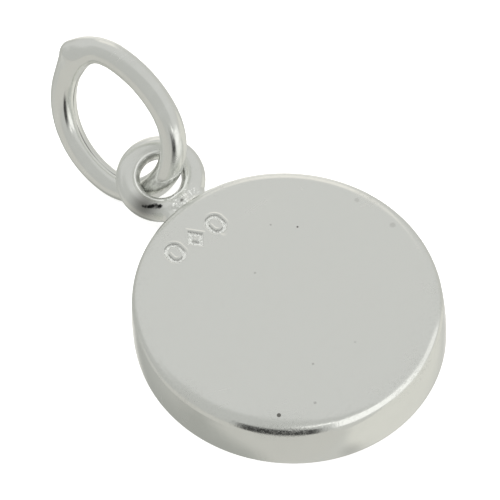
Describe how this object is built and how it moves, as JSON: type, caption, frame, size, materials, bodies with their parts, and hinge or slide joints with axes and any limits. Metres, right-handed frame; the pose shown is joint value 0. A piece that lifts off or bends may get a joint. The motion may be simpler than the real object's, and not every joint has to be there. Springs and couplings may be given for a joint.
{
  "type": "smiley face charm",
  "caption": "Small round silver charm with a smile sunk in its front face, a loop soldered to its edge, and an oval jump ring through the loop.",
  "frame": {"origin": "middle of the disc's front face, which lies on the surface", "axes": "+Z out of the disc's back, which faces up; +Y from the disc towards the loop and ring"},
  "size_m": [0.0118, 0.0192, 0.0063],
  "materials": {
    "disc_silver": "polished silver, fine scratches and a few tiny pits",
    "ring_silver": "polished silver wire"
  },
  "bodies": {
    "root": {"face_disc": "disc_silver", "oval_ring": "ring_silver"}
  },
  "joints": []
}
